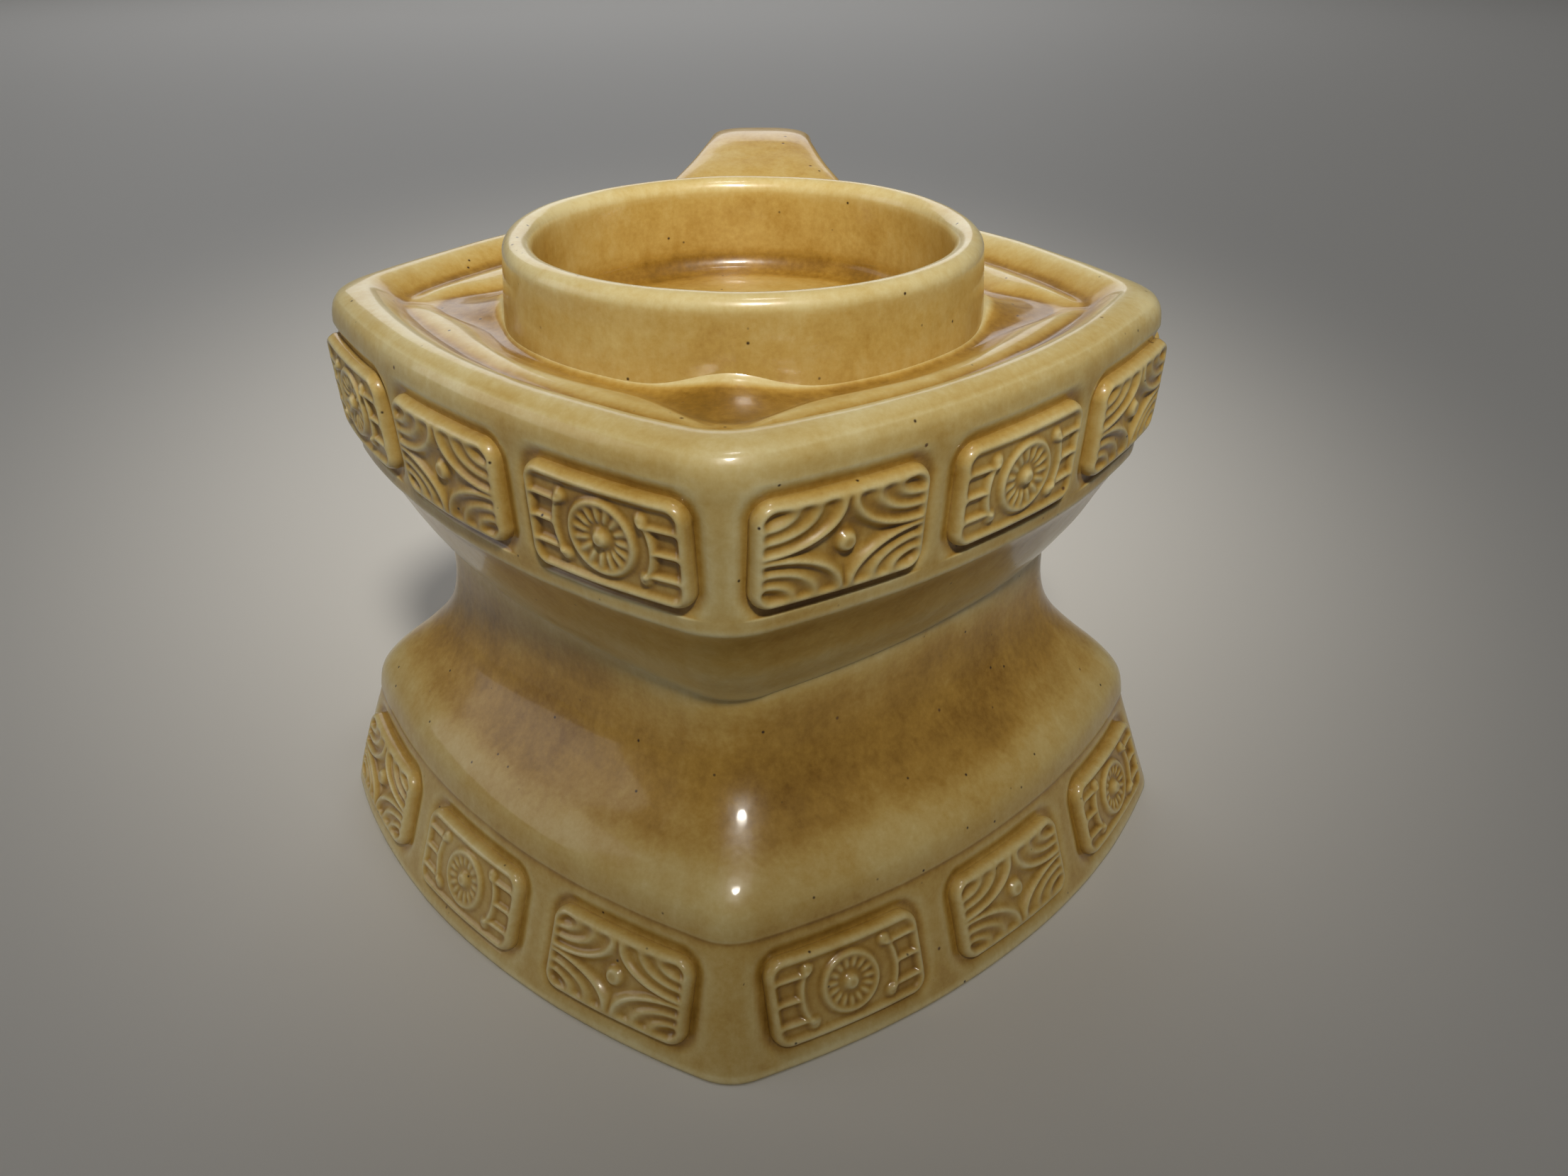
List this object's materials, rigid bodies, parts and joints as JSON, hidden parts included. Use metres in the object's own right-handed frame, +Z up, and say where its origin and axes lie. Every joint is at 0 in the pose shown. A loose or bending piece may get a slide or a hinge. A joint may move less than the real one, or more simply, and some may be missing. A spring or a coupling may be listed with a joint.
{
  "type": "candle and wax pot",
  "caption": "Glazed ceramic pot on a four-sided waisted stand: round cup, sunk tray with a rolled rim, relief tiles on two bands and a strap handle at the back corner.",
  "frame": {"origin": "on the floor under the middle of the four-sided plan and of the cup", "axes": "+Z up along the cup's axis; the front corner of the plan points to -Y and the handle's corner to +Y"},
  "size_m": [0.1848, 0.2044, 0.1284],
  "materials": {
    "honey_glaze": "glossy honey-yellow glaze, pale on edges and amber where it pools"
  },
  "bodies": {
    "root": {"lower_body": "honey_glaze", "upper_collar": "honey_glaze", "cup": "honey_glaze", "rear_handle": "honey_glaze", "lower_star_tile_1": "honey_glaze", "lower_star_tile_2": "honey_glaze", "lower_star_tile_3": "honey_glaze", "lower_star_tile_4": "honey_glaze", "lower_star_tile_5": "honey_glaze", "lower_star_tile_6": "honey_glaze", "lower_rosette_tile_1": "honey_glaze", "lower_rosette_tile_2": "honey_glaze", "lower_rosette_tile_3": "honey_glaze", "lower_rosette_tile_4": "honey_glaze", "lower_rosette_tile_5": "honey_glaze", "lower_rosette_tile_6": "honey_glaze", "upper_star_tile_1": "honey_glaze", "upper_star_tile_2": "honey_glaze", "upper_star_tile_3": "honey_glaze", "upper_star_tile_4": "honey_glaze", "upper_star_tile_5": "honey_glaze", "upper_star_tile_6": "honey_glaze", "upper_rosette_tile_1": "honey_glaze", "upper_rosette_tile_2": "honey_glaze", "upper_rosette_tile_3": "honey_glaze", "upper_rosette_tile_4": "honey_glaze", "upper_rosette_tile_5": "honey_glaze", "upper_rosette_tile_6": "honey_glaze"}
  },
  "joints": []
}
